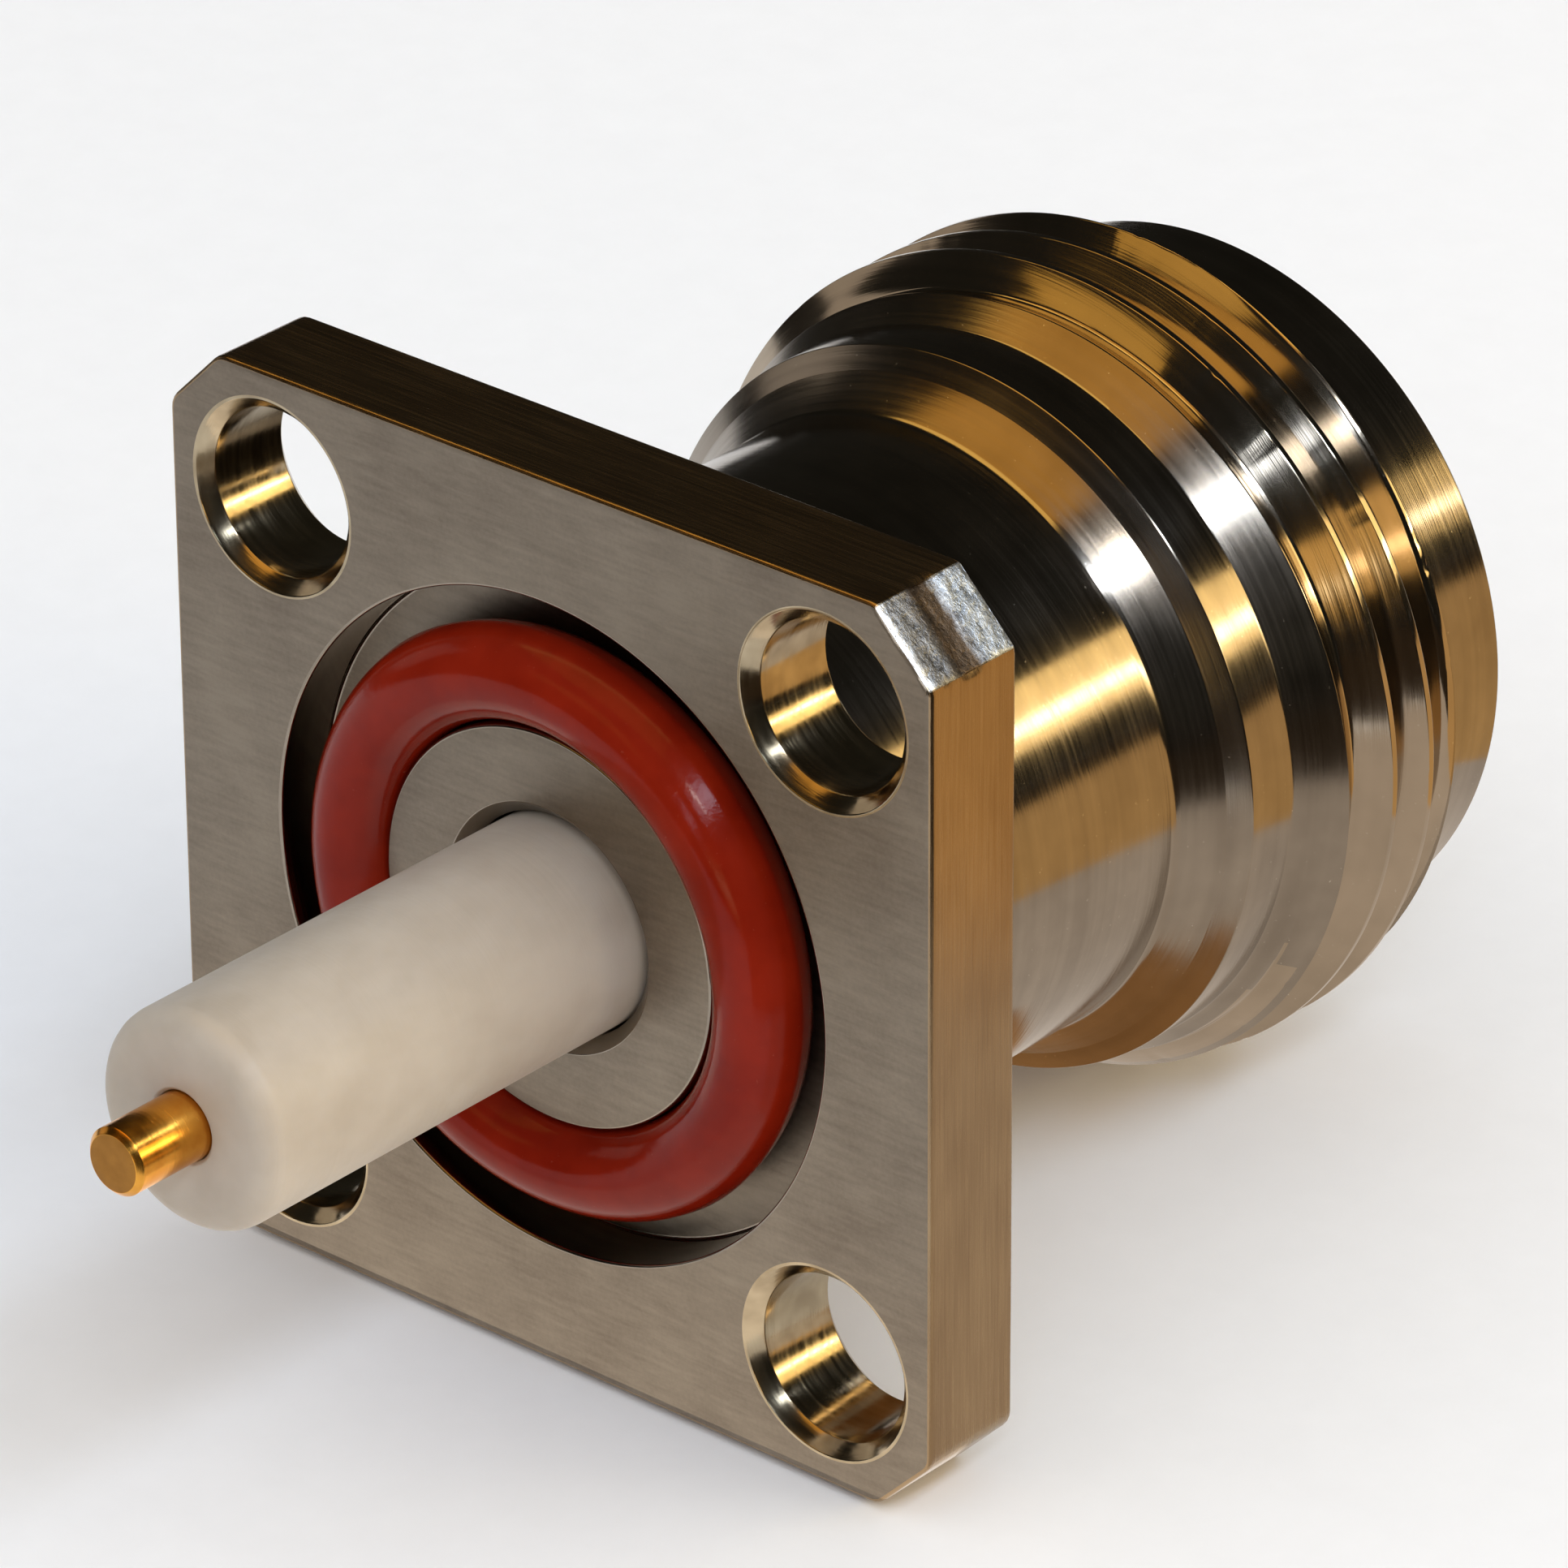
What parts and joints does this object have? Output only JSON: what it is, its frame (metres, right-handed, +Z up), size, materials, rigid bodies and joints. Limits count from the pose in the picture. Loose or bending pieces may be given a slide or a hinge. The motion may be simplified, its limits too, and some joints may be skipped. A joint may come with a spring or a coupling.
{
  "type": "n-type panel socket",
  "caption": "Coaxial panel socket with a square flange, a threaded mating end, a gasket in the panel face and a long rear insulator with a solder pin.",
  "frame": {"origin": "centre of the flange's panel face, on the socket's axis", "axes": "+Y along the axis towards the mating end, -Y the solder pin, +Z up, square to a flange edge"},
  "size_m": [0.0176, 0.0293, 0.0176],
  "materials": {
    "nickel_plate": "nickel plated, satin",
    "silicone": "smooth",
    "ptfe": "turned, waxy",
    "gold_plate": "gold plated, bright"
  },
  "bodies": {
    "root": {"shell_body": "nickel_plate", "oring_seal": "silicone", "dielectric_insulator": "ptfe", "retaining_bush": "nickel_plate", "centre_contact": "gold_plate"}
  },
  "joints": []
}
